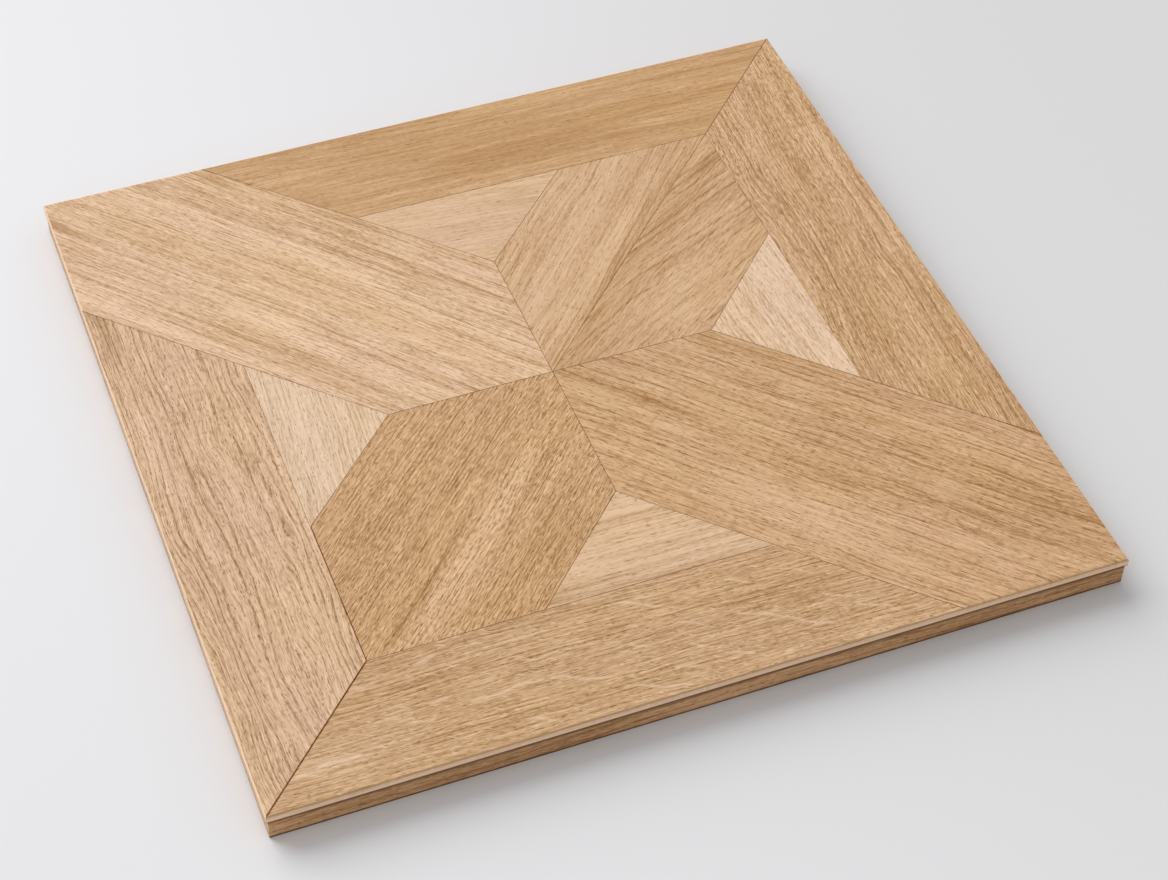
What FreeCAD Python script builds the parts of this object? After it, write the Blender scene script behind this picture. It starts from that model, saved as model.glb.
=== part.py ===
import FreeCAD, Part
import math
import os
import Sketcher

# Parquet block: a square engineered panel in millimetres, +Z up.
# Thirteen oak lamellas lie on one base board. Two diagonal bands cross at the
# centre: one runs corner to corner, the other stops at the border. A mitred
# border frames the square and four small triangles fill what is left.
# The origin is the centre of the underside, X runs along the front edge and Y
# towards the back. Plans are drawn from the front left corner of the panel.

SIZES = {
    "panel_side": 600.0,
    "wear_thickness": 6.0,
    "board_thickness": 18.0,
    "band_width": 174.0,
    "border_width": 95.0,
    "board_inset": 1.2,
    "outer_bevel": 1.0,
    "seam_ease": 0.3,
    "board_ease": 0.5,
}

# What a place in the plan is measured in: the panel's side, the run of a
# diagonal band along the edge that it meets, the border and the board's inset.
MEASURES = {
    "sides": ("Sizes.panel_side", SIZES["panel_side"]),
    "runs": ("Sizes.band_width / sqrt(2)", SIZES["band_width"] / math.sqrt(2)),
    "borders": ("Sizes.border_width", SIZES["border_width"]),
    "insets": ("Sizes.board_inset", SIZES["board_inset"]),
}

TOLERANCE = 1e-6


class Station:
    """A distance from the front or left edge, as a value and as an expression."""

    def __init__(self, **shares):
        self.value = sum(share * MEASURES[name][1] for name, share in shares.items())
        terms = [f"{share} * {MEASURES[name][0]}" for name, share in shares.items()]
        self.expression = " + ".join(terms) or "0"


EDGE = Station()
BORDER = Station(borders=1)
CUT = Station(runs=1)
ARM = Station(sides=0.5, runs=-1)
INNER_CUT = Station(runs=1, borders=1)
MIDDLE = Station(sides=0.5)
FAR_INNER_CUT = Station(sides=1, runs=-1, borders=-1)
FAR_ARM = Station(sides=0.5, runs=1)
FAR_CUT = Station(sides=1, runs=-1)
FAR_BORDER = Station(sides=1, borders=-1)
FAR_EDGE = Station(sides=1)
BOARD_NEAR = Station(insets=1)
BOARD_FAR = Station(sides=1, insets=-1)

# Where seams meet, as (x, y).
CENTRE = (MIDDLE, MIDDLE)
FRONT_LEFT = (EDGE, EDGE)
FRONT_RIGHT = (FAR_EDGE, EDGE)
BACK_RIGHT = (FAR_EDGE, FAR_EDGE)
BACK_LEFT = (EDGE, FAR_EDGE)
FRONT_MITRE = (BORDER, BORDER)
BACK_MITRE = (FAR_BORDER, FAR_BORDER)
FRONT_ARM = (MIDDLE, ARM)
BACK_ARM = (MIDDLE, FAR_ARM)
LEFT_ARM = (ARM, MIDDLE)
RIGHT_ARM = (FAR_ARM, MIDDLE)

LAMELLAS = {
    "band_left": [
        BACK_LEFT, (EDGE, FAR_CUT), LEFT_ARM, CENTRE, BACK_ARM, (CUT, FAR_EDGE),
    ],
    "band_right": [
        FRONT_RIGHT, (FAR_EDGE, CUT), RIGHT_ARM, CENTRE, FRONT_ARM, (FAR_CUT, EDGE),
    ],
    "cross_front": [
        CENTRE, LEFT_ARM, (BORDER, INNER_CUT), FRONT_MITRE, (INNER_CUT, BORDER), FRONT_ARM,
    ],
    "cross_back_left": [
        CENTRE, BACK_MITRE, (FAR_INNER_CUT, FAR_BORDER), BACK_ARM,
    ],
    "cross_back_right": [
        CENTRE, RIGHT_ARM, (FAR_BORDER, FAR_INNER_CUT), BACK_MITRE,
    ],
    "border_front": [
        FRONT_LEFT, (FAR_CUT, EDGE), (FAR_INNER_CUT, BORDER), FRONT_MITRE,
    ],
    "border_left": [
        FRONT_LEFT, FRONT_MITRE, (BORDER, FAR_INNER_CUT), (EDGE, FAR_CUT),
    ],
    "border_back": [
        BACK_RIGHT, (CUT, FAR_EDGE), (INNER_CUT, FAR_BORDER), BACK_MITRE,
    ],
    "border_right": [
        BACK_RIGHT, BACK_MITRE, (FAR_BORDER, INNER_CUT), (FAR_EDGE, CUT),
    ],
    "infill_front": [
        FRONT_ARM, (INNER_CUT, BORDER), (FAR_INNER_CUT, BORDER),
    ],
    "infill_left": [
        LEFT_ARM, (BORDER, FAR_INNER_CUT), (BORDER, INNER_CUT),
    ],
    "infill_back": [
        BACK_ARM, (FAR_INNER_CUT, FAR_BORDER), (INNER_CUT, FAR_BORDER),
    ],
    "infill_right": [
        RIGHT_ARM, (FAR_BORDER, INNER_CUT), (FAR_BORDER, FAR_INNER_CUT),
    ],
}

BOARD = [
    (BOARD_NEAR, BOARD_NEAR), (BOARD_FAR, BOARD_NEAR), (BOARD_FAR, BOARD_FAR), (BOARD_NEAR, BOARD_FAR),
]


def add_sheet(doc):
    """Write the driving dimensions, one row each: a name, and the aliased number."""
    sheet = doc.addObject("Spreadsheet::Sheet", "Sizes")
    for row, (alias, value) in enumerate(SIZES.items(), start=1):
        sheet.set(f"A{row}", alias)
        sheet.set(f"B{row}", str(value))
        sheet.setAlias(f"B{row}", alias)
    return sheet


def base_plane(body):
    """The body's own horizontal plane."""
    return next(plane for plane in body.Origin.OriginFeatures if plane.Role == "XY_Plane")


def draw_plan(body, corners):
    """Draw a closed outline, each corner placed from the front left corner."""
    sketch = body.newObject("Sketcher::SketchObject", body.Name + "_plan")
    sketch.AttachmentSupport = [(base_plane(body), "")]
    sketch.MapMode = "FlatFace"
    points = [FreeCAD.Vector(x.value, y.value, 0) for x, y in corners]
    for start, end in zip(points, points[1:] + points[:1]):
        sketch.addGeometry(Part.LineSegment(start, end), False)
    for line in range(len(points)):
        following = (line + 1) % len(points)
        sketch.addConstraint(Sketcher.Constraint("Coincident", line, 2, following, 1))
    for line, (x, y) in enumerate(corners):
        for direction, station in (("DistanceX", x), ("DistanceY", y)):
            constraint = Sketcher.Constraint(direction, -1, 1, line, 1, station.value)
            index = sketch.addConstraint(constraint)
            sketch.setExpression(f"Constraints[{index}]", station.expression)
    return sketch


def edges_at(shape, height, wanted):
    """Names of the level edges at a height whose two ends both satisfy a test."""
    names = []
    for number, edge in enumerate(shape.Edges, start=1):
        ends = [vertex.Point for vertex in edge.Vertexes]
        level = all(abs(point.z - height) < TOLERANCE for point in ends)
        if level and wanted(*ends):
            names.append(f"Edge{number}")
    return names


def on_panel_edge(start, end):
    """Whether a line runs along one side of the panel."""
    for limit in (0, SIZES["panel_side"]):
        if abs(start.x - limit) < TOLERANCE and abs(end.x - limit) < TOLERANCE:
            return True
        if abs(start.y - limit) < TOLERANCE and abs(end.y - limit) < TOLERANCE:
            return True
    return False


def ease(body, feature, name, edges, size):
    """Bevel some edges of a feature at 45 degrees."""
    bevel = body.newObject("PartDesign::Chamfer", body.Name + name)
    bevel.Base = (feature, edges)
    bevel.setExpression("Size", size)
    body.Document.recompute()
    return bevel


def add_slab(doc, name, corners, thickness, height):
    """A flat piece padded up from its plan, with its underside at a height."""
    body = doc.addObject("PartDesign::Body", name)
    body.Label = name
    pad_sketch = draw_plan(body, corners)
    pad = body.newObject("PartDesign::Pad", name + "_pad")
    pad.Profile = pad_sketch
    pad.setExpression("Length", thickness)
    body.setExpression("Placement.Base.x", "-0.5 * Sizes.panel_side")
    body.setExpression("Placement.Base.y", "-0.5 * Sizes.panel_side")
    body.setExpression("Placement.Base.z", height)
    doc.recompute()
    return body, pad


def add_lamella(doc, name, corners):
    """An oak lamella: its seams are eased, and the panel's own edges bevelled."""
    body, pad = add_slab(doc, name, corners, "Sizes.wear_thickness", "Sizes.board_thickness")
    face = SIZES["wear_thickness"]
    seams = edges_at(pad.Shape, face, lambda start, end: not on_panel_edge(start, end))
    feature = ease(body, pad, "_seams", seams, "Sizes.seam_ease")
    outer = edges_at(feature.Shape, face, on_panel_edge)
    if outer:
        ease(body, feature, "_bevel", outer, "Sizes.outer_bevel")
    return body


def add_board(doc):
    """The base board, a little smaller than the face, with its lower arris eased."""
    body, pad = add_slab(doc, "base_board", BOARD, "Sizes.board_thickness", "0")
    lower = edges_at(pad.Shape, 0, lambda start, end: True)
    ease(body, pad, "_ease", lower, "Sizes.board_ease")
    return body


def check(doc, bodies):
    """Stop if an object failed or a piece isn't one valid solid."""
    doc.recompute()
    for item in doc.Objects:
        if "Invalid" in item.State or "Error" in item.State:
            raise RuntimeError(f"{item.Label} failed")
    for body in bodies:
        if body.Shape.isNull() or not body.Shape.isValid() or len(body.Shape.Solids) != 1:
            raise RuntimeError(f"{body.Label} is not one valid solid")


def main():
    doc = FreeCAD.newDocument("ParquetBlock")
    add_sheet(doc)
    doc.recompute()
    bodies = [add_board(doc)]
    for name, corners in LAMELLAS.items():
        bodies.append(add_lamella(doc, name, corners))
    check(doc, bodies)
    os.makedirs("parts", exist_ok=True)
    for body in bodies:
        body.Shape.exportStep(f"parts/{body.Label}.step")
        box = body.Shape.BoundBox
        print(f"{body.Label}: {body.Shape.Volume:.0f} mm3, {box.XLength:.2f} x {box.YLength:.2f} x {box.ZLength:.2f}")


main()
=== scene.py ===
import math

import bmesh
import bpy
import numpy as np
from mathutils import Matrix, Quaternion, Vector


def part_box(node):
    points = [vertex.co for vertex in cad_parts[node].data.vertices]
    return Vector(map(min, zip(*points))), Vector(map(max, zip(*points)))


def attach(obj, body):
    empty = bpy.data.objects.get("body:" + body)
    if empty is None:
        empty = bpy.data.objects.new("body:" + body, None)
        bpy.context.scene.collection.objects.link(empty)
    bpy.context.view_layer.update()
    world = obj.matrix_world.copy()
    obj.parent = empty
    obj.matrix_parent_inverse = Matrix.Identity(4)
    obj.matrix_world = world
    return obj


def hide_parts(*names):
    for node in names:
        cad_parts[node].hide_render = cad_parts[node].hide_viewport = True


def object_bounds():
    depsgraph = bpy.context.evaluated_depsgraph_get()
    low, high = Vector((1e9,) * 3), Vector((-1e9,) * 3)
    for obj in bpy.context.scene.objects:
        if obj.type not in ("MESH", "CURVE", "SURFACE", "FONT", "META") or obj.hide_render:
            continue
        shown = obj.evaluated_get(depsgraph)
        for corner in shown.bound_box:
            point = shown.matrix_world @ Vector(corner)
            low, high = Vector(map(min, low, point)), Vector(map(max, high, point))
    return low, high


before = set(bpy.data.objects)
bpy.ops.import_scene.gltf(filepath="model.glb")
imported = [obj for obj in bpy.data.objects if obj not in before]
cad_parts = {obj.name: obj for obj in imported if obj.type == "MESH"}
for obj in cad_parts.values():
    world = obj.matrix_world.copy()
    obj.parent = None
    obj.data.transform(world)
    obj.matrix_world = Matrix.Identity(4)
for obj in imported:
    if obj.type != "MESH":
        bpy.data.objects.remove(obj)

# A parquet block seen from above its front left corner: thirteen oak lamellas
# on a brown base board. Each piece is a mesh with grain relief, cut along the
# direction of its own grain, and carries its grain coordinates as attributes
# that its material reads.

CAD_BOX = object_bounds()
MM = 0.001

# Where the photograph was taken from and what it looks at, in metres, how far the
# camera leans, and its lens in millimetres.
CAMERA_PLACE = (-0.4681, -1.2254, 1.338)
CAMERA_AIM = (-0.0032, -0.0707, 0.024)
CAMERA_ROLL = math.radians(1.21)
CAMERA_LENS = 80.1

# The light, with its levels on a level floor: a dome whose rim is brighter than its
# top, and a broad soft lamp behind the block, turned to the left.
DOME_LEVEL = 0.58
DOME_RIM = 1.6
KEY_LEVEL = 0.42
KEY_HEIGHT = math.radians(31)
KEY_TURN = math.radians(23)
KEY_SPREAD = math.radians(58)
# The mean height on the dome that a level floor's light comes from, 1 at its top.
DOME_MEAN = 2 / 3

# The floor's tones at the four corners of what the camera sees of it, and
# where those corners lie in metres. Paler at the back left and greyer to the right,
# they paint the light's fall-off across the floor.
FLOOR_FRONT_LEFT = (231, 231, 233)
FLOOR_FRONT_RIGHT = (217, 217, 218)
FLOOR_BACK_LEFT = (240, 240, 243)
FLOOR_BACK_RIGHT = (218, 217, 218)
FLOOR_X = (-0.45, 0.60)
FLOOR_Y = (-0.50, 0.55)
FLOOR_SIZE = 12.0
FLOOR_ROUGHNESS = 0.9

# Grid cells of the relief, across and along the grain, and the finer ones of the
# front border, whose ray flecks slant.
CELL_ACROSS = 0.6 * MM
CELL_ALONG = 5.0 * MM
FLECKED_ALONG = 1.6 * MM
BOARD_CELL = 6.0 * MM
# Cuts nearer than this to a vertex, in metres, go through it.
CUT_SNAP = 1e-7

# The eased arrises, as large as in the part's source.
SEAM_EASE = 0.3 * MM
OUTER_BEVEL = 1.0 * MM
BOARD_EASE = 0.5 * MM
# How wide a seam's brown line is on each side of it, and how dark. The line is a
# dark joint, and partly painted shade of the narrow gap between the lamellas.
SEAM_LINE = (0.5 * MM, 0.6)
FAINT_LINE = (0.4 * MM, 0.3)
DARK_LINE = (0.6 * MM, 0.85)
MITRE_LINE = (0.95 * MM, 1.0)
# Rows of faces down a side, and which of a piece's materials its front and back
# sides have.
SIDE_ROWS = 4
SIDE_SLOT = 1
# Where a rounded arris is cut a second time, as a share of its width, and the
# angle above which an edge isn't smoothed.
ARRIS_MIDDLE = 0.35
SHARP_ANGLE = math.radians(50)
# Places nearer than this count as one, and a side faces a direction when its
# normal agrees with it this well.
NEAR = 0.05 * MM
ALIGNED = 0.99

# Tones in sRGB, 0 to 255: the ray flecks, the sawn sides, the seams, whose dark
# joint lines are partly painted shade, the painted highlight on the block's own
# arrises and the painted shade on its front arris, and the painted shade at the
# feet of the sides and under the oak's overhang.
RAY_TONE = (236, 205, 176)
RAW_TONE = (246, 212, 182)
SEAM_TONE = (112, 58, 8)
ARRIS_PAINTED_HIGHLIGHT = (240, 214, 185)
ARRIS_PAINTED_SHADE = (196, 158, 118)
PAINTED_SHADE_TONE = (84, 54, 32)

# Where the sides pale and darken, in millimetres: on the oak down from its face,
# and on the board up from its underside, which counts as negative. The darkening
# is painted shade: at the oak's foot where it meets the board, on the board under
# the oak's overhang, and at the board's foot on the floor. A share is how dark the
# line gets.
RAW_DEPTHS = (0.5, 4.5)
OAK_FOOT_SHADE = (5.0, 5.7)
OVERHANG_SHADE = (-16.2, -13.6)
BOARD_FOOT_SHADE = (-2.6, -1.3)
FOOT_SHADE_SHARE = 0.85
OVERHANG_SHADE_SHARE = 0.75

# What the matt lacquer's reflection adds to the wood's own colour.
SHEEN = 0.012

# The sRGB curve: its straight foot and that foot's slope, then its power.
TONE_LIMIT = 255
CURVE_FOOT = 0.04045
CURVE_SLOPE = 12.92
CURVE_OFFSET = 0.055
CURVE_POWER = 2.4

# How deep a face's grain lines and slow waves are, the waves' size along and across
# the grain in millimetres, and what sets their draws apart from the wood's own.
FACE_RELIEF = 0.05 * MM
FACE_WAVE = 0.05 * MM
FACE_WAVE_SIZE = (180, 40)
RELIEF_SEED = 500

# The lattice that smooth random values are drawn on.
FIELD_SHAPE = (64, 1024)

# The waves of the grain and the bands of tone along the rings, each a strength
# and a size along and across the grain in millimetres. Then the size of warmer
# and cooler patches, and over how many rings their spacing drifts.
WAVES = ((2.4, 240, 60), (1.2, 70, 22), (0.5, 26, 9))
BANDS = ((0.26, 260, 14), (0.34, 110, 5), (0.18, 110, 45), (0.34, 60, 2.4))
WARMTH_SIZE = (90, 26)
DRIFT_RINGS = 3.5

# A ray streak's wave and the run that it takes, how far its ends fade, and how
# wide its tips stay.
FLECK_WAVE = 0.9
FLECK_RUN = 4.5
FLECK_FADE = 3
FLECK_TIP = 0.35

# Shares of a ring: how the soft early wood dips in the relief, and how its dark
# line rises and falls in the colour. The faintest line has the least strength.
DIP_RISE = 0.08
DIP_FALL = 0.22
EARLY_RISE = 0.14
EARLY_FALL = 0.34
EARLY_LEAST = 0.25

# The grain in the colour: sizes along and across it in millimetres, and the
# levels of the noise between which it shows. Threads show everywhere, and more in
# the dark lines. A shift keeps one noise from repeating another. The wood is
# lifted by a share of its lines' strength, so that they don't darken it overall.
PATCH_SIZE = (50, 7)
PATCH_LEVELS = (-0.7, 0.6)
FIBRE_SIZE = (6, 0.6)
STREAK_SIZE = (32, 1.5)
THREAD_SIZE = (12, 0.7)
THREAD_LEVELS = (0.3, 0.9)
THREADS_ANYWHERE = 0.45
THREADS_IN_LINES = 0.8
THREAD_SHIFT = 9
LINE_LIFT = 0.2

# Two kinds of pores: how many and how dark, as shares, and their size. A pore's
# edge is in cells from its middle. Then come the share of the pores that follow
# the dark lines, how much a pore covers the wood, and its shade of the dark tone.
SHORT_PORES = {"density": 0.6, "strength": 0.8, "along": 4.0, "across": 0.85}
FINE_PORES = {"density": 0.8, "strength": 0.7, "along": 8.0, "across": 0.6}
FINE_SHIFT = 7
PORE_EDGE = (0.2, 0.45)
EARLY_PORES = 0.8
PORE_SHARE = 0.75
PORE_SHADE = 0.5

# Small pale ray flecks, with their size along, across and down in millimetres, and
# how the larger ones are broken up. A ramp is two levels of what goes in, and what
# comes out at each.
RAY_SLANT = math.radians(25)
RAY_SIZE = (9, 1.6, 10)
RAY_LEVELS = (0.45, 1.0)
RAY_SHARE = 0.6
BREAK_SIZE = (7, 1.6)
BREAK_RAMP = (-0.8, 0.5, 0.3, 0.85)

# Tints of warmer and cooler wood, and how much of them shows.
WARM_TINT = (1.0, 0.985, 0.88, 1.0)
COOL_TINT = (1.0, 0.99, 1.06, 1.0)
TINT_SHARE = 0.5

# The matt lacquer, rougher in the pores, and the small bumps of fibre and pores.
WOOD_ROUGHNESS = 0.66
PORE_ROUGHNESS = 0.2
WOOD_SPECULAR = 0.15
BUMP_STRENGTH = 0.6
BUMP_DEPTH = 0.1 * MM
FIBRE_BUMP = 0.3

# How a seam's line breaks up and fades along its run, in millimetres, and how
# strongly. Then how the painted highlight and painted shade on the block's arrises show.
SEAM_MEAN = 0.9
SEAM_BREAK = 9
SEAM_BREAK_SHARE = 0.2
SEAM_FADE = 70
SEAM_FADE_SHARE = 0.25
SEAM_FULL = 0.8
ARRIS_LIGHT_RAMP = (0.0, 0.5, 0.0, 0.75)

# Shader noise lies round a half, and is spread this much to lie round zero.
NOISE_SPREAD = 4.0

# The colour sockets of the Mix node, which has others of the same names.
MIX_FIRST = 6
MIX_SECOND = 7
MIX_RESULT = 2


def style(angle, seed, dark, mid, pale, **more):
    """How one lamella's oak looks. Lengths are in millimetres, tones in sRGB.

    angle, seed: the grain's direction in degrees, and where its random draws start
    dark, mid, pale: the wood's tones
    ring, ring_drift: the rings' width, and how unevenly they follow each other
    skew, tilt, wave: how far the rings slant along the grain and down, and bend
    bands, streak, fibre: how much the tone changes, from wide bands to fibres
    lines, threads, pores: how dark or how many these are
    patch: the share of a dark line that is left where it is faintest
    raw: how pale the sawn sides get, at the face and at the foot; painted light on the front pieces
    """
    look = {
        "angle": angle, "seed": seed, "dark": dark, "mid": mid, "pale": pale,
        "ring": 4.0, "ring_drift": 1.0, "skew": 0.0, "wave": 1.0, "tilt": 0.4,
        "bands": 1.0, "lines": 0.9, "threads": 1.5, "pores": 0.9,
        "fibre": 0.75, "streak": 0.7, "patch": 0.2, "raw": (0.3, 0.65),
        "swells": (), "marks": (), "flecks": (), "seams": {}, "cell_along": CELL_ALONG,
    }
    look.update(more)
    return look


# Angles turn from the front edge towards the back. Places on a lamella are
# millimetres along and across its grain from its middle. A swell bends the
# rings: along, across, half length, half width, height. A mark lightens or
# darkens the wood: along, across, half length, half width, strength. A fleck
# is a pale ray streak: along, across, length, slant in degrees, width. A seam
# line is given for the direction that its side faces, 0 to the right and 90 to
# the back.
FRONT_FLECKS = (
    (-156, 25, 20, 0, 2.6), (-110, 32, 13, 8, 4.0), (37, 32, 31, -24, 2.4), (30, 35, 8, -10, 3.0),
    (111, -2, 31, -25, 1.8), (-18, -14, 37, -20, 2.3), (-66, -8, 46, 5, 1.8), (-110, -2, 11, 0, 2.2),
    (-126, -14, 16, -3, 1.8), (-51, -38, 19, -22, 2.2), (26, -36, 42, -17, 1.8), (53, -28, 20, -25, 1.5),
    (85, -27, 16, -25, 1.5), (150, 24, 14, -30, 1.5), (140, -18, 32, -28, 1.5), (166, -4, 22, -30, 1.3),
    (106, 30, 16, -25, 1.5), (63, -13, 18, -25, 1.3), (28, -2, 14, -30, 1.3), (186, -20, 30, -30, 1.4),
    (68, 4, 18, -30, 1.2), (-43, 11, 16, -8, 1.2), (-98, -34, 16, 0, 1.3), (-190, -28, 40, 4, 3.2),
)
# How far the front sides pale towards bare wood, at the face and at the foot, more than
# the other pieces' sides: the extra is painted light.
FRONT_RAW_AND_PAINTED_LIGHT = (0.45, 0.8)
STYLES = {
    "band_left": style(
        -48, 11, (184, 142, 99), (217, 181, 145), (242, 208, 176),
        ring=4.2, fibre=1.0,
        swells=((0, 0, 170, 90, -7),),
        marks=(
            (94, 10, 100, 4, -0.5), (-8, 1, 24, 2, -0.7), (-190, -25, 22, 4, -0.5),
            (-105, -55, 80, 25, 0.3), (85, 55, 70, 12, -0.2), (0, 34, 110, 3, 0.35),
            (110, -7, 70, 3, 0.4), (40, -40, 60, 3, 0.3),
        ),
    ),
    "band_right": style(
        -46, 12, (164, 119, 74), (204, 165, 125), (228, 190, 152),
        ring=4.6, wave=1.3, pores=1.3, bands=0.6,
        fibre=0.85, raw=FRONT_RAW_AND_PAINTED_LIGHT, seams={45: DARK_LINE},
        marks=(
            (155, 28, 60, 22, -0.4), (-195, 21, 40, 2.5, -0.7), (-135, -2, 35, 2, -0.6),
            (-8, 12, 50, 2, -0.5), (112, 43, 24, 2, -0.7), (-50, 44, 32, 2, -0.5),
            (140, -3, 70, 2, -0.55), (0, -58, 120, 22, 0.35), (60, 62, 50, 4, 0.45),
            (-60, 8, 60, 3, 0.3),
        ),
    ),
    "cross_front": style(
        45, 13, (160, 116, 70), (206, 165, 123), (234, 196, 155),
        ring=3.0, pores=2.3, bands=0.3,
        threads=2.4, streak=0.5, fibre=1.05, seams={180: MITRE_LINE},
        marks=(
            (-18, -24, 115, 9, 0.75), (-80, -8, 65, 1.8, -0.8), (35, -31, 70, 2.5, -0.45),
            (20, 1, 80, 2, 0.35), (0, -62, 80, 25, -0.25), (-60, 40, 70, 25, -0.15),
        ),
    ),
    "cross_back_left": style(
        48, 14, (180, 137, 92), (208, 170, 131), (226, 190, 154),
        ring=5.0, wave=1.5,
        marks=(
            (-40, -27, 85, 6, 0.55), (-78, -8, 25, 3, -0.6), (-28, 18, 35, 5, -0.4),
            (30, 30, 35, 10, 0.3), (-35, -42, 40, 3, -0.4), (90, -20, 30, 4, -0.3),
        ),
    ),
    "cross_back_right": style(
        37, 15, (172, 128, 82), (201, 162, 123), (222, 186, 148),
        ring=6.5, wave=1.8, skew=-0.22,
        swells=((-40, 30, 60, 30, -8),),
        marks=(
            (50, 40, 75, 8, -0.45), (-50, -20, 60, 25, 0.35), (-85, 28, 11, 2, -0.8),
            (110, 45, 25, 15, -0.4),
        ),
    ),
    "border_front": style(
        -1.5, 16, (164, 122, 78), (199, 161, 122), (229, 194, 157),
        ring=4.0, wave=1.3, bands=0.35, pores=1.3,
        flecks=FRONT_FLECKS, cell_along=FLECKED_ALONG, raw=FRONT_RAW_AND_PAINTED_LIGHT, seams={135: MITRE_LINE},
        marks=((-112, 17, 42, 2, -0.5), (-190, -28, 35, 10, 0.35), (150, 0, 60, 30, -0.2)),
    ),
    "border_left": style(
        91, 17, (168, 130, 91), (215, 179, 146), (240, 206, 173),
        ring=4.6, ring_drift=0.7, wave=3.0, pores=1.4,
        bands=0.35, patch=0.75, seams={315: MITRE_LINE},
        swells=((0, 0, 120, 60, 8), (30, 33, 50, 20, -6)),
        marks=(
            (211, 33, 36, 8, -0.6), (-42, 48, 32, 5, -0.5), (92, 30, 75, 10, 0.45),
            (20, -12, 50, 4, 0.35),
        ),
    ),
    "border_back": style(
        -1, 18, (180, 137, 90), (199, 158, 115), (221, 183, 142),
        lines=0.6, threads=1.1, pores=0.6,
        fibre=0.7, streak=0.6, wave=1.4, seams={315: DARK_LINE},
        marks=((-20, -16, 70, 12, -0.35), (-165, 8, 40, 10, 0.3), (70, 2, 60, 5, 0.25)),
    ),
    "border_right": style(
        88, 19, (164, 122, 78), (200, 161, 121), (232, 195, 157),
        ring=4.4, wave=2.2, pores=1.5, bands=0.65,
        fibre=1.05, seams={180: FAINT_LINE},
        swells=((-10, 35, 80, 30, 13), (150, -10, 60, 30, -5)),
        marks=((-96, 15, 34, 6, -0.45), (-20, 40, 60, 4, 0.35), (60, -20, 60, 8, 0.2)),
    ),
    "infill_front": style(
        -1.8, 20, (183, 144, 104), (212, 177, 142), (231, 196, 162),
        ring=4.0,
        marks=((-38, -17, 36, 3, -0.5), (45, -25, 30, 2.5, -0.5), (0, 30, 28, 14, 0.35)),
    ),
    "infill_left": style(
        85, 21, (193, 159, 123), (225, 194, 165), (243, 214, 184),
        ring=4.0, wave=1.2, bands=0.4,
        seams={180: FAINT_LINE},
        marks=((2, -31, 28, 1.5, -0.6), (-65, 14, 20, 2, -0.4), (20, 10, 40, 10, 0.2)),
    ),
    "infill_back": style(
        -5, 22, (198, 161, 121), (218, 183, 149), (232, 198, 167),
        lines=0.5, threads=0.8, pores=0.5, bands=0.5,
        marks=((40, 10, 28, 12, -0.35), (-30, 0, 40, 10, 0.2)),
    ),
    "infill_right": style(
        91.7, 23, (194, 158, 120), (227, 195, 164), (242, 211, 181),
        ring=6.0, wave=1.2, skew=0.1, bands=0.7,
        fibre=1.0, seams={0: FAINT_LINE},
        marks=((-4, 18, 32, 2.5, -0.6), (-20, -12, 40, 1.5, -0.5)),
    ),
}
BOARD_STYLE = style(
    0, 31, (142, 103, 69), (189, 146, 106), (218, 176, 136),
    ring=3.0, lines=0.7, threads=0.8, pores=0.8, streak=0.4, patch=0.6,
)
# The board's left and right sides. Their tones are paler than the board's own, partly as painted light:
# the sheen of the lamp on the block's left side.
LONG_GRAIN_STYLE = style(
    90, 31, (170, 132, 100), (206, 170, 138), (224, 192, 162),
    ring=5.0, pores=0.5,
)


def linear(tone):
    """A tone written in sRGB, 0 to 255, as the linear colour that a shader takes."""
    parts = []
    for channel in tone:
        level = channel / TONE_LIMIT
        if level <= CURVE_FOOT:
            parts.append(level / CURVE_SLOPE)
        else:
            parts.append(((level + CURVE_OFFSET) / (1 + CURVE_OFFSET)) ** CURVE_POWER)
    return (*parts, 1.0)


def wood(tone, share=1.0):
    """A wood's tone as its linear colour without the sheen, darkened evenly by a share."""
    *channels, alpha = linear(tone)
    return (*(max(share * channel - SHEEN, 0) for channel in channels), alpha)


def smooth(share):
    """A share from 0 to 1, eased at both ends."""
    return share * share * (3 - 2 * share)


def field(rng, along, across, along_cell, across_cell):
    """Smooth random values from -1 to 1 over the plane of the grain."""
    lattice = rng.uniform(-1, 1, FIELD_SHAPE)
    x = along / along_cell + FIELD_SHAPE[0] / 2
    y = across / across_cell + FIELD_SHAPE[1] / 2
    column = np.floor(x).astype(int)
    row = np.floor(y).astype(int)
    u = smooth(x - column)
    v = smooth(y - row)

    def corner(dx, dy):
        return lattice[(column + dx) % FIELD_SHAPE[0], (row + dy) % FIELD_SHAPE[1]]

    near = corner(0, 0) * (1 - v) + corner(0, 1) * v
    far = corner(1, 0) * (1 - v) + corner(1, 1) * v
    return near * (1 - u) + far * u


def layered(rng, along, across, layers):
    """The sum of some fields, each with its own strength and size."""
    return sum(strength * field(rng, along, across, *size) for strength, *size in layers)


def spot(along, across, place):
    """A soft spot of height one: its place and its half length and half width."""
    middle_along, middle_across, half_length, half_width = place
    reach = ((along - middle_along) / half_length) ** 2 + ((across - middle_across) / half_width) ** 2
    return np.exp(-reach)


def fleck(along, across, shape):
    """A thin, slightly wavy pale streak that slants across the grain."""
    middle_along, middle_across, length, slant, width = shape
    turn = math.radians(slant)
    x = (along - middle_along) * math.cos(turn) + (across - middle_across) * math.sin(turn)
    y = (across - middle_across) * math.cos(turn) - (along - middle_along) * math.sin(turn)
    y = y + FLECK_WAVE * np.sin(x / FLECK_RUN + middle_along)
    ends = np.clip((length / 2 - np.abs(x)) / FLECK_FADE + 1, 0, 1)
    taper = FLECK_TIP + (1 - FLECK_TIP) * np.clip(1 - np.abs(x) / length, 0, 1)
    return ends * np.exp(-(y / (0.5 * width * taper)) ** 2)


def grain_axes(look):
    """Unit vectors along and across the grain, seen from above."""
    angle = math.radians(look["angle"])
    return np.array([math.cos(angle), math.sin(angle)]), np.array([-math.sin(angle), math.cos(angle)])


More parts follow.
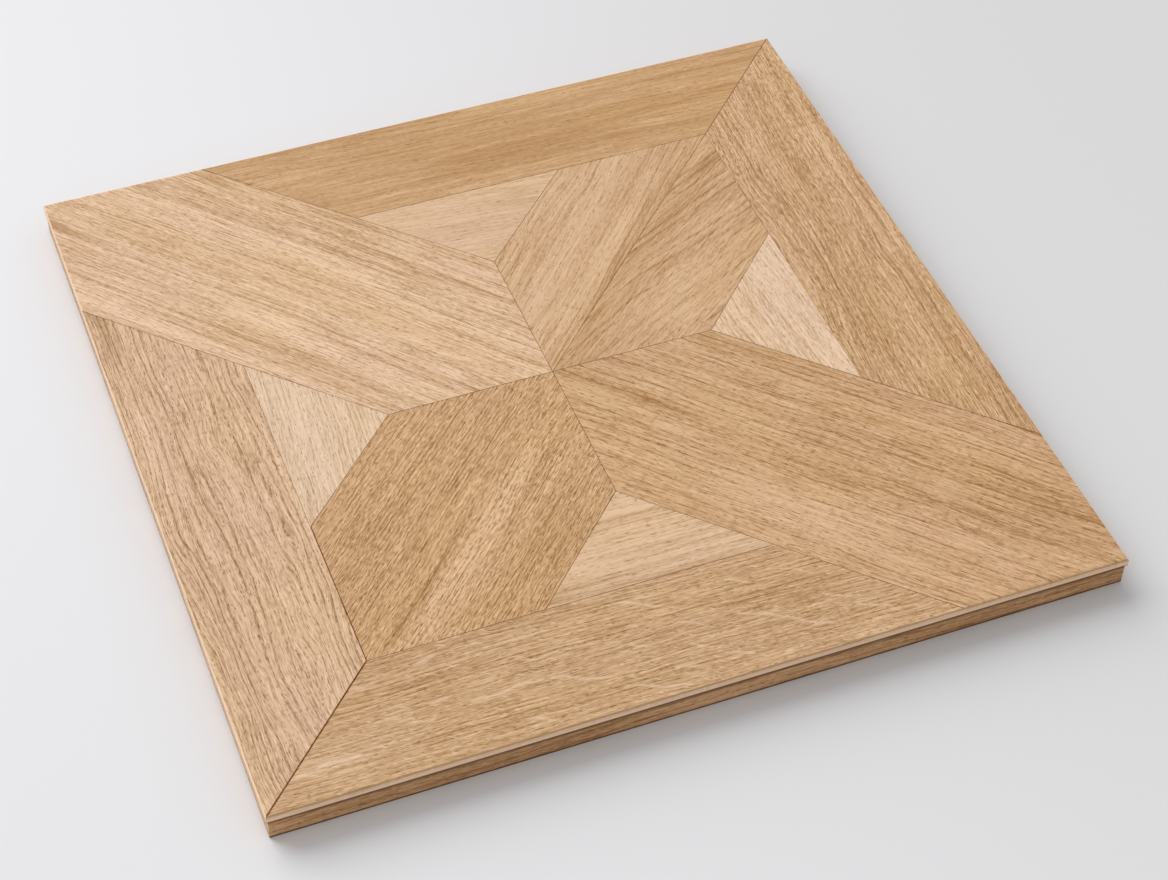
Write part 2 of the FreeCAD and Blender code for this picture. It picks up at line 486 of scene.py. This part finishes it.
def figure(look, points, middle, face_height):
    """The wood's figure at some points, as one array for each attribute.

    Places are in millimetres from the piece's middle: along the grain, across
    it and down from the face.
    """
    rng = np.random.default_rng(look["seed"])
    along_axis, across_axis = grain_axes(look)
    flat = (points[:, :2] - middle) / MM
    along = flat @ along_axis
    across = flat @ across_axis
    depth = (face_height - points[:, 2]) / MM
    warped = across + look["wave"] * layered(rng, along, across, WAVES)
    ringed = warped + look["tilt"] * depth - look["skew"] * along
    for *place, height in look["swells"]:
        ringed += height * spot(along, across, place)
    spread = field(rng, np.zeros(len(points)), ringed, 1, DRIFT_RINGS * look["ring"])
    rings = ringed / look["ring"] + look["ring_drift"] * spread
    tone = look["bands"] * layered(rng, along, ringed, BANDS)
    for *place, strength in look["marks"]:
        tone += strength * spot(along, warped, place)
    rays = np.zeros(len(points))
    for shape in look["flecks"]:
        rays = np.maximum(rays, fleck(along, across, shape))
    warmth = field(rng, along, warped, *WARMTH_SIZE)
    return {
        "grain": np.stack([along, warped, depth], 1),
        "rings": rings, "tone": tone, "rays": rays, "warmth": warmth,
    }


def line_depth(rings):
    """The dip of the soft early wood in each ring, from 0 to 1."""
    part = rings - np.floor(rings)
    return np.exp(-(part / DIP_FALL) ** 2) + np.exp(-((1 - part) / DIP_RISE) ** 2)


def outline_of(node, height):
    """The corners of a node's plan at a height, in order round its middle."""
    corners = []
    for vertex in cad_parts[node].data.vertices:
        place = vertex.co.xy.copy()
        level = abs(vertex.co.z - height) < NEAR
        if level and all((place - corner).length > NEAR for corner in corners):
            corners.append(place)
    middle = sum(corners, Vector((0, 0))) / len(corners)
    corners.sort(key=lambda corner: math.atan2(corner.y - middle.y, corner.x - middle.x))
    return np.array(corners)


def is_outer(point, normal):
    """Whether a side lies on the block's own edge."""
    low, high = CAD_BOX
    limits = ((-1, 0, -low[0]), (1, 0, high[0]), (0, -1, -low[1]), (0, 1, high[1]))
    for x, y, reach in limits:
        if normal[0] * x + normal[1] * y > ALIGNED and abs(point[0] * x + point[1] * y - reach) < NEAR:
            return True
    return False


def facing(normal):
    """The direction that a side faces, in whole degrees from the right, 0 to 359."""
    return round(math.degrees(math.atan2(normal[1], normal[0]))) % 360


def sides_of(outline, look, edge_ease):
    """Each side of a plan: a point on it, its outward normal and how it is eased and shaded.

    Without an ease of its own, a side takes the outer bevel or the seam's.
    """
    middle = outline.mean(axis=0)
    sides = []
    for start, end in zip(outline, np.roll(outline, -1, axis=0)):
        run = (end - start) / np.linalg.norm(end - start)
        normal = np.array([run[1], -run[0]])
        if (start - middle) @ normal < 0:
            normal = -normal
        outer = edge_ease is not None or is_outer(start, normal)
        ease = edge_ease or (OUTER_BEVEL if outer else SEAM_EASE)
        shade, depth = (ease, 1.0) if outer else look["seams"].get(facing(normal), SEAM_LINE)
        sides.append({
            "point": start, "normal": normal, "outer": outer,
            "ease": ease, "shade": shade, "depth": depth,
        })
    return sides


def grid_over(outline, look, across_cell, along_cell):
    """A flat grid along the grain, cut to the plan, as a bmesh."""
    along_axis, across_axis = grain_axes(look)
    middle = outline.mean(axis=0)
    half_along = np.abs((outline - middle) @ along_axis).max() + along_cell
    half_across = np.abs((outline - middle) @ across_axis).max() + across_cell
    mesh = bmesh.new()
    place = Matrix.Translation((middle[0], middle[1], 0))
    turn = Matrix.Rotation(math.radians(look["angle"]), 4, "Z")
    stretch = Matrix.Diagonal((half_along, half_across, 1, 1))
    bmesh.ops.create_grid(
        mesh,
        x_segments=math.ceil(2 * half_along / along_cell),
        y_segments=math.ceil(2 * half_across / across_cell),
        size=1,
        matrix=place @ turn @ stretch,
    )
    return mesh


def cut(mesh, point, normal, clear):
    """Cut a flat grid along a line, and drop what lies beyond it if asked."""
    geometry = mesh.verts[:] + mesh.edges[:] + mesh.faces[:]
    bmesh.ops.bisect_plane(
        mesh, geom=geometry, dist=CUT_SNAP, plane_co=(point[0], point[1], 0),
        plane_no=(normal[0], normal[1], 0), clear_outer=clear,
    )


def rounded_drop(points, sides):
    """How far the eased arrises lower each point of a face."""
    drop = np.zeros(len(points))
    for side in sides:
        inside = np.clip((side["point"] - points) @ side["normal"], 0, side["ease"])
        gap = side["ease"] - inside
        drop = np.maximum(drop, side["ease"] - np.sqrt(side["ease"] ** 2 - gap ** 2))
    return drop


def nearness(points, sides):
    """How near each point is to some sides: a side's depth on it, 0 a shade's width away."""
    near = np.zeros(len(points))
    for side in sides:
        inside = (side["point"] - points) @ side["normal"]
        near = np.maximum(near, side["depth"] * np.clip(1 - inside / side["shade"], 0, 1))
    return near


def coordinates(mesh):
    """A bmesh's vertices as an array."""
    return np.array([vertex.co for vertex in mesh.verts])


def wall_down(mesh, base, rows):
    """Carry the boundary of a face to the other side in rows, and close it."""
    rim = [edge for edge in mesh.edges if edge.is_boundary]
    walls = []
    for row in range(1, rows + 1):
        made = bmesh.ops.extrude_edge_only(mesh, edges=rim)["geom"]
        rim = [item for item in made if isinstance(item, bmesh.types.BMEdge) and item.is_boundary]
        walls += [item for item in made if isinstance(item, bmesh.types.BMFace)]
        for item in made:
            if isinstance(item, bmesh.types.BMVert):
                item.co.z += (base - item.co.z) / (rows + 1 - row)
    bmesh.ops.edgeloop_fill(mesh, edges=rim)
    return walls


def face_grid(outline, look, sides, across_cell, along_cell):
    """The face's grid, cut to the plan and cut again along each eased arris."""
    grid = grid_over(outline, look, across_cell, along_cell)
    for side in sides:
        cut(grid, side["point"], side["normal"], True)
    for side in sides:
        for inset in (ARRIS_MIDDLE * side["ease"], side["ease"], side["shade"]):
            cut(grid, side["point"] - side["normal"] * inset, side["normal"], False)
    return grid


def sink_face(grid, look, sides, middle, face, sign):
    """Give a flat grid its height, its eased arrises and the relief of its grain."""
    points = coordinates(grid)
    points[:, 2] = face
    drop = rounded_drop(points[:, :2], sides)
    made = figure(look, points, middle, face)
    rng = np.random.default_rng(look["seed"] + RELIEF_SEED)
    drop += FACE_RELIEF * np.clip(line_depth(made["rings"]), 0, 1) * (drop < NEAR)
    wave = field(rng, made["grain"][:, 0], made["grain"][:, 1], *FACE_WAVE_SIZE)
    drop += FACE_WAVE * (0.5 + 0.5 * wave)
    for vertex, lowered in zip(grid.verts, drop):
        vertex.co.z = face - sign * lowered


def write_attributes(mesh, look, sides, middle, face):
    """Store the wood's figure and the nearness of seams and edges at each vertex."""
    points = np.zeros(len(mesh.vertices) * 3)
    mesh.vertices.foreach_get("co", points)
    points = points.reshape(-1, 3)
    made = figure(look, points, middle, face)
    made["seam"] = nearness(points[:, :2], [side for side in sides if not side["outer"]])
    # The block's outer arrises: positive where a painted highlight goes, negative along the front, where
    # painted shade goes.
    front = [side for side in sides if side["outer"] and side["normal"][1] < -ALIGNED]
    other = [side for side in sides if side["outer"] and side["normal"][1] >= -ALIGNED]
    made["arris"] = nearness(points[:, :2], other) - nearness(points[:, :2], front)
    for name, values in made.items():
        kind, key = ("FLOAT_VECTOR", "vector") if values.ndim == 2 else ("FLOAT", "value")
        layer = mesh.attributes.new(name, kind, "POINT")
        layer.data.foreach_set(key, values.astype(np.float32).ravel())


def slab(name, node, look, across_cell, along_cell, materials, edge_ease=None, face_up=True):
    """A flat wooden piece with a relief on its face, which replaces a node.

    The first of its materials is the face's, the second that of the front and back
    sides and the last that of the others. With two, all sides have the second.
    """
    low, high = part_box(node)
    face, base, sign = (high.z, low.z, 1) if face_up else (low.z, high.z, -1)
    outline = outline_of(node, base)
    middle = outline.mean(axis=0)
    sides = sides_of(outline, look, edge_ease)
    grid = face_grid(outline, look, sides, across_cell, along_cell)
    sink_face(grid, look, sides, middle, face, sign)
    walls = wall_down(grid, base, SIDE_ROWS)
    bmesh.ops.recalc_face_normals(grid, faces=grid.faces[:])
    for wall in walls:
        left_or_right = abs(wall.normal.x) > abs(wall.normal.y)
        wall.material_index = len(materials) - 1 if left_or_right else SIDE_SLOT
    mesh = bpy.data.meshes.new(name)
    grid.to_mesh(mesh)
    grid.free()
    write_attributes(mesh, look, sides, middle, face)
    mesh.shade_smooth()
    mesh.set_sharp_from_angle(angle=SHARP_ANGLE)
    for material in materials:
        mesh.materials.append(material)
    piece = bpy.data.objects.new(name, mesh)
    bpy.context.scene.collection.objects.link(piece)
    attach(piece, "root")
    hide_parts(node)


class Nodes:
    """Short ways to add shader nodes to a material."""

    def __init__(self, name):
        self.material = bpy.data.materials.new(name)
        self.material.use_nodes = True
        self.tree = self.material.node_tree
        self.shader = self.tree.nodes["Principled BSDF"]

    def add(self, kind, **settings):
        made = self.tree.nodes.new(kind)
        for key, value in settings.items():
            setattr(made, key, value)
        return made

    def put(self, socket, value):
        if isinstance(value, bpy.types.NodeSocket):
            self.tree.links.new(value, socket)
        else:
            socket.default_value = value

    def math(self, operation, first, second=0.0, third=0.0, clamp=False):
        made = self.add("ShaderNodeMath", operation=operation, use_clamp=clamp)
        for socket, value in zip(made.inputs, (first, second, third)):
            self.put(socket, value)
        return made.outputs[0]

    def attribute(self, name, output):
        return self.add("ShaderNodeAttribute", attribute_name=name).outputs[output]

    def scaled(self, vector, scale):
        made = self.add("ShaderNodeVectorMath", operation="MULTIPLY")
        self.put(made.inputs[0], vector)
        made.inputs[1].default_value = scale
        return made.outputs[0]

    def noise(self, vector, detail):
        """Noise around 0, about -1 to 1."""
        made = self.add("ShaderNodeTexNoise")
        self.put(made.inputs["Vector"], vector)
        made.inputs["Scale"].default_value = 1.0
        made.inputs["Detail"].default_value = detail
        return self.math("MULTIPLY_ADD", made.outputs["Fac"], NOISE_SPREAD, -NOISE_SPREAD / 2)

    def cells(self, vector):
        """Distance to the nearest of scattered points, and a random number for each."""
        made = self.add("ShaderNodeTexVoronoi", feature="F1")
        self.put(made.inputs["Vector"], vector)
        made.inputs["Scale"].default_value = 1.0
        parts = self.add("ShaderNodeSeparateColor")
        self.put(parts.inputs[0], made.outputs["Color"])
        return made.outputs["Distance"], parts.outputs[0]

    def ramp(self, value, low, high, at_low=0.0, at_high=1.0):
        """A smooth step from one value to another."""
        made = self.add("ShaderNodeMapRange", interpolation_type="SMOOTHSTEP")
        for socket, number in zip(made.inputs, (value, low, high, at_low, at_high)):
            self.put(socket, number)
        return made.outputs[0]

    def mix(self, share, first, second, blend="MIX"):
        made = self.add("ShaderNodeMix", data_type="RGBA", blend_type=blend)
        self.put(made.inputs[0], share)
        self.put(made.inputs[MIX_FIRST], first)
        self.put(made.inputs[MIX_SECOND], second)
        return made.outputs[MIX_RESULT]


def early_wood(n, rings):
    """The dark porous line at the start of each ring, uneven from ring to ring."""
    part = n.math("FRACT", rings)
    rise = n.ramp(part, 1 - EARLY_RISE, 1.0)
    fall = n.ramp(part, 0.0, EARLY_FALL, 1.0, 0.0)
    whole = n.math("FLOOR", n.math("ADD", rings, EARLY_RISE))
    random = n.add("ShaderNodeTexWhiteNoise", noise_dimensions="1D")
    n.put(random.inputs["W"], whole)
    strength = n.math("MULTIPLY_ADD", random.outputs["Value"], 1 - EARLY_LEAST, EARLY_LEAST)
    return n.math("MULTIPLY", n.math("MAXIMUM", rise, fall), strength)


def drawn_out(n, grain, along, across, shift):
    """The grain's coordinates in cells of a size in millimetres, moved by a shift."""
    moved = n.add("ShaderNodeVectorMath", operation="MULTIPLY_ADD")
    n.put(moved.inputs[0], grain)
    moved.inputs[1].default_value = (1 / along, 1 / across, 1 / across)
    moved.inputs[2].default_value = (shift, shift, shift)
    return moved.outputs[0]


def grain_noise(n, grain, along, across, detail=1.0, shift=0.0):
    """Noise drawn out along the grain. Sizes in millimetres."""
    return n.noise(drawn_out(n, grain, along, across, shift), detail)


def pore_dashes(n, grain, early, kind, pores, shift):
    """Short dark dashes along the grain, thickest in the early wood."""
    distance, chance = n.cells(drawn_out(n, grain, kind["along"], kind["across"], shift))
    dash = n.ramp(distance, *PORE_EDGE, 1.0, 0.0)
    density = kind["density"] * pores
    wanted = n.math("MULTIPLY_ADD", early, EARLY_PORES * density, (1 - EARLY_PORES) * density)
    return n.math("MULTIPLY", dash, n.math("LESS_THAN", chance, wanted))


def ray_flecks(n, grain):
    """Small pale flecks of medullary rays, slanting across the grain."""
    turned = n.add("ShaderNodeVectorRotate", rotation_type="Z_AXIS")
    n.put(turned.inputs["Vector"], grain)
    turned.inputs["Angle"].default_value = RAY_SLANT
    shape = n.noise(n.scaled(turned.outputs[0], [1 / size for size in RAY_SIZE]), detail=1.0)
    return n.ramp(shape, *RAY_LEVELS)


def oak_grain(n, look):
    """The wood's colour, its pores and its fibre, from the piece's grain attributes."""
    grain = n.attribute("grain", "Vector")
    tone = n.attribute("tone", "Fac")
    shift = float(look["seed"])
    early = early_wood(n, n.attribute("rings", "Fac"))
    patchy = grain_noise(n, grain, *PATCH_SIZE, shift=shift)
    lines = n.math("MULTIPLY", early, n.ramp(patchy, *PATCH_LEVELS, look["patch"], 1.0))
    fibre = grain_noise(n, grain, *FIBRE_SIZE, detail=2.0, shift=shift)
    streak = grain_noise(n, grain, *STREAK_SIZE, detail=2.0, shift=shift)
    threads = n.ramp(grain_noise(n, grain, *THREAD_SIZE, shift=shift + THREAD_SHIFT), *THREAD_LEVELS)
    shown = n.math("MULTIPLY_ADD", lines, THREADS_IN_LINES, THREADS_ANYWHERE)
    threads = n.math("MULTIPLY", threads, shown)
    lifted = n.math("ADD", tone, LINE_LIFT * look["lines"])
    level = n.math("MULTIPLY_ADD", lines, -look["lines"], lifted)
    level = n.math("MULTIPLY_ADD", fibre, look["fibre"], level)
    level = n.math("MULTIPLY_ADD", streak, look["streak"], level)
    level = n.math("MULTIPLY_ADD", threads, -look["threads"], level)
    darkness = n.math("MULTIPLY", level, -1.0, clamp=True)
    paleness = n.math("MULTIPLY", level, 1.0, clamp=True)
    colour = n.mix(darkness, wood(look["mid"]), wood(look["dark"]))
    colour = n.mix(paleness, colour, wood(look["pale"]))
    short = pore_dashes(n, grain, lines, SHORT_PORES, look["pores"], shift)
    fine = pore_dashes(n, grain, lines, FINE_PORES, look["pores"], shift + FINE_SHIFT)
    short = n.math("MULTIPLY", short, SHORT_PORES["strength"])
    pores = n.math("MULTIPLY_ADD", fine, FINE_PORES["strength"], short, clamp=True)
    colour = n.mix(n.math("MULTIPLY", pores, PORE_SHARE), colour, wood(look["dark"], PORE_SHADE))
    if look["flecks"]:
        small = n.math("MULTIPLY", ray_flecks(n, grain), RAY_SHARE)
        broken = n.ramp(grain_noise(n, grain, *BREAK_SIZE, detail=2.0, shift=shift), *BREAK_RAMP)
        rays = n.math("MAXIMUM", small, n.math("MULTIPLY", n.attribute("rays", "Fac"), broken))
        colour = n.mix(rays, colour, wood(RAY_TONE))
    warmth = n.attribute("warmth", "Fac")
    for share, tint in ((TINT_SHARE, WARM_TINT), (-TINT_SHARE, COOL_TINT)):
        colour = n.mix(n.math("MULTIPLY", warmth, share, clamp=True), colour, tint, "MULTIPLY")
    return colour, pores, fibre


def finish_wood(n, colour, pores, fibre, specular=WOOD_SPECULAR):
    """Put the colour, a matt sheen and the small bumps of the grain on the shader."""
    n.put(n.shader.inputs["Base Color"], colour)
    n.put(n.shader.inputs["Roughness"], n.math("MULTIPLY_ADD", pores, PORE_ROUGHNESS, WOOD_ROUGHNESS))
    n.put(n.shader.inputs["Specular IOR Level"], specular)
    bump = n.add("ShaderNodeBump")
    bump.inputs["Strength"].default_value = BUMP_STRENGTH
    bump.inputs["Distance"].default_value = BUMP_DEPTH
    raised = n.math("MULTIPLY", fibre, FIBRE_BUMP)
    n.put(bump.inputs["Height"], n.math("MULTIPLY_ADD", pores, -1.0, raised))
    n.put(n.shader.inputs["Normal"], bump.outputs[0])
    return n.material


def oak_face(name, look):
    """A lamella's face: brown seams, partly painted shade, and painted light on the arrises."""
    n = Nodes(name)
    colour, pores, fibre = oak_grain(n, look)
    grain = n.attribute("grain", "Vector")
    # The seams' dark joint line, partly painted shade of the gap between lamellas.
    breaks = grain_noise(n, grain, SEAM_BREAK, SEAM_BREAK, detail=2.0)
    uneven = n.math("MULTIPLY_ADD", breaks, SEAM_BREAK_SHARE, SEAM_MEAN)
    fades = grain_noise(n, grain, SEAM_FADE, SEAM_FADE, shift=look["seed"])
    uneven = n.math("MULTIPLY_ADD", fades, SEAM_FADE_SHARE, uneven)
    seam = n.math("MULTIPLY", n.ramp(n.attribute("seam", "Fac"), 0.0, SEAM_FULL), uneven, clamp=True)
    colour = n.mix(seam, colour, wood(SEAM_TONE))
    # Painted light on the block's own arrises: a highlight at the back and sides, shade along the front.
    arris = n.attribute("arris", "Fac")
    colour = n.mix(n.ramp(arris, *ARRIS_LIGHT_RAMP), colour, wood(ARRIS_PAINTED_HIGHLIGHT))
    colour = n.mix(n.ramp(n.math("MULTIPLY", arris, -1.0), *ARRIS_LIGHT_RAMP), colour, wood(ARRIS_PAINTED_SHADE))
    specular = n.math("MULTIPLY_ADD", seam, -WOOD_SPECULAR, WOOD_SPECULAR)
    return finish_wood(n, colour, pores, fibre, specular)


def depth_below(n):
    """How far a point lies below its piece's face, in millimetres."""
    parts = n.add("ShaderNodeSeparateXYZ")
    n.put(parts.inputs[0], n.attribute("grain", "Vector"))
    return parts.outputs["Z"]


def oak_edge(name, look):
    """A lamella's sawn side, paler towards its underside, with painted shade at its foot."""
    n = Nodes(name)
    colour, pores, fibre = oak_grain(n, look)
    depth = depth_below(n)
    raw = n.ramp(depth, *RAW_DEPTHS, *look["raw"])
    # Painted shade at the oak's foot, where it meets the board.
    foot_shade = n.ramp(depth, *OAK_FOOT_SHADE, 0.0, FOOT_SHADE_SHARE)
    colour = n.mix(foot_shade, n.mix(raw, colour, wood(RAW_TONE)), wood(PAINTED_SHADE_TONE))
    return finish_wood(n, colour, pores, fibre)


def board_side(name, look):
    """The board's sawn side, with painted shade under the oak's overhang and at its foot."""
    n = Nodes(name)
    colour, pores, fibre = oak_grain(n, look)
    depth = depth_below(n)
    # Painted shade on the board under the oak's overhang, and at its foot on the floor.
    overhang_shade = n.ramp(depth, *OVERHANG_SHADE, OVERHANG_SHADE_SHARE, 0.0)
    foot_shade = n.ramp(depth, *BOARD_FOOT_SHADE, 0.0, FOOT_SHADE_SHARE)
    colour = n.mix(n.math("MAXIMUM", overhang_shade, foot_shade), colour, wood(PAINTED_SHADE_TONE))
    return finish_wood(n, colour, pores, fibre)


def board_under(name):
    """The board's underside."""
    n = Nodes(name)
    return finish_wood(n, *oak_grain(n, BOARD_STYLE))


def build_block():
    """The thirteen lamellas and the board, each in place of its node."""
    for node, look in STYLES.items():
        materials = [oak_face(node + "_face", look), oak_edge(node + "_edge", look)]
        slab(node + "_oak", node, look, CELL_ACROSS, look["cell_along"], materials)
    materials = [
        board_under("board_under"), board_side("board_end_grain", BOARD_STYLE),
        board_side("board_long_grain", LONG_GRAIN_STYLE),
    ]
    slab(
        "base_board_wood", "base_board", BOARD_STYLE, BOARD_CELL, BOARD_CELL, materials,
        edge_ease=BOARD_EASE, face_up=False,
    )


def build_floor():
    """A pale floor that the block lies on, with the light's fall-off painted in its colour."""
    mesh = bpy.data.meshes.new("floor")
    grid = bmesh.new()
    bmesh.ops.create_grid(grid, x_segments=1, y_segments=1, size=FLOOR_SIZE / 2)
    grid.to_mesh(mesh)
    grid.free()
    n = Nodes("floor")
    parts = n.add("ShaderNodeSeparateXYZ")
    n.put(parts.inputs[0], n.add("ShaderNodeTexCoord").outputs["Object"])
    across = n.ramp(parts.outputs["X"], *FLOOR_X)
    front = n.mix(across, linear(FLOOR_FRONT_LEFT), linear(FLOOR_FRONT_RIGHT))
    back = n.mix(across, linear(FLOOR_BACK_LEFT), linear(FLOOR_BACK_RIGHT))
    n.put(n.shader.inputs["Base Color"], n.mix(n.ramp(parts.outputs["Y"], *FLOOR_Y), front, back))
    n.shader.inputs["Roughness"].default_value = FLOOR_ROUGHNESS
    n.shader.inputs["Specular IOR Level"].default_value = 0.0
    mesh.materials.append(n.material)
    floor = bpy.data.objects.new("floor", mesh)
    bpy.context.scene.collection.objects.link(floor)


def light_scene():
    """A dome brighter at its rim than overhead, and a broad lamp behind the block on the left."""
    world = bpy.data.worlds.new("studio")
    world.use_nodes = True
    tree = world.node_tree
    parts = tree.nodes.new("ShaderNodeSeparateXYZ")
    tree.links.new(tree.nodes.new("ShaderNodeTexCoord").outputs["Generated"], parts.inputs[0])
    overhead = DOME_LEVEL / (DOME_RIM + (1 - DOME_RIM) * DOME_MEAN)
    rise = tree.nodes.new("ShaderNodeMapRange")
    tree.links.new(parts.outputs["Z"], rise.inputs["Value"])
    rise.inputs["To Min"].default_value = overhead * DOME_RIM
    rise.inputs["To Max"].default_value = overhead
    background = tree.nodes["Background"]
    background.inputs["Color"].default_value = (1, 1, 1, 1)
    tree.links.new(rise.outputs[0], background.inputs["Strength"])
    bpy.context.scene.world = world
    lamp = bpy.data.lights.new("key", "SUN")
    lamp.energy = KEY_LEVEL * math.pi / math.sin(KEY_HEIGHT)
    lamp.angle = KEY_SPREAD
    key = bpy.data.objects.new("key", lamp)
    away = Vector((
        -math.sin(KEY_TURN) * math.cos(KEY_HEIGHT),
        math.cos(KEY_TURN) * math.cos(KEY_HEIGHT),
        math.sin(KEY_HEIGHT),
    ))
    key.rotation_euler = away.to_track_quat("Z", "Y").to_euler()
    bpy.context.scene.collection.objects.link(key)


def place_camera():
    """The photograph's view."""
    lens = bpy.data.cameras.new("camera")
    lens.lens = CAMERA_LENS
    camera = bpy.data.objects.new("camera", lens)
    camera.location = CAMERA_PLACE
    aim = Vector(CAMERA_AIM) - Vector(CAMERA_PLACE)
    turn = aim.to_track_quat("-Z", "Y") @ Quaternion((0, 0, 1), CAMERA_ROLL)
    camera.rotation_euler = turn.to_euler()
    bpy.context.scene.collection.objects.link(camera)
    bpy.context.scene.camera = camera


build_block()
build_floor()
light_scene()
place_camera()
bpy.context.scene.view_settings.view_transform = "Standard"
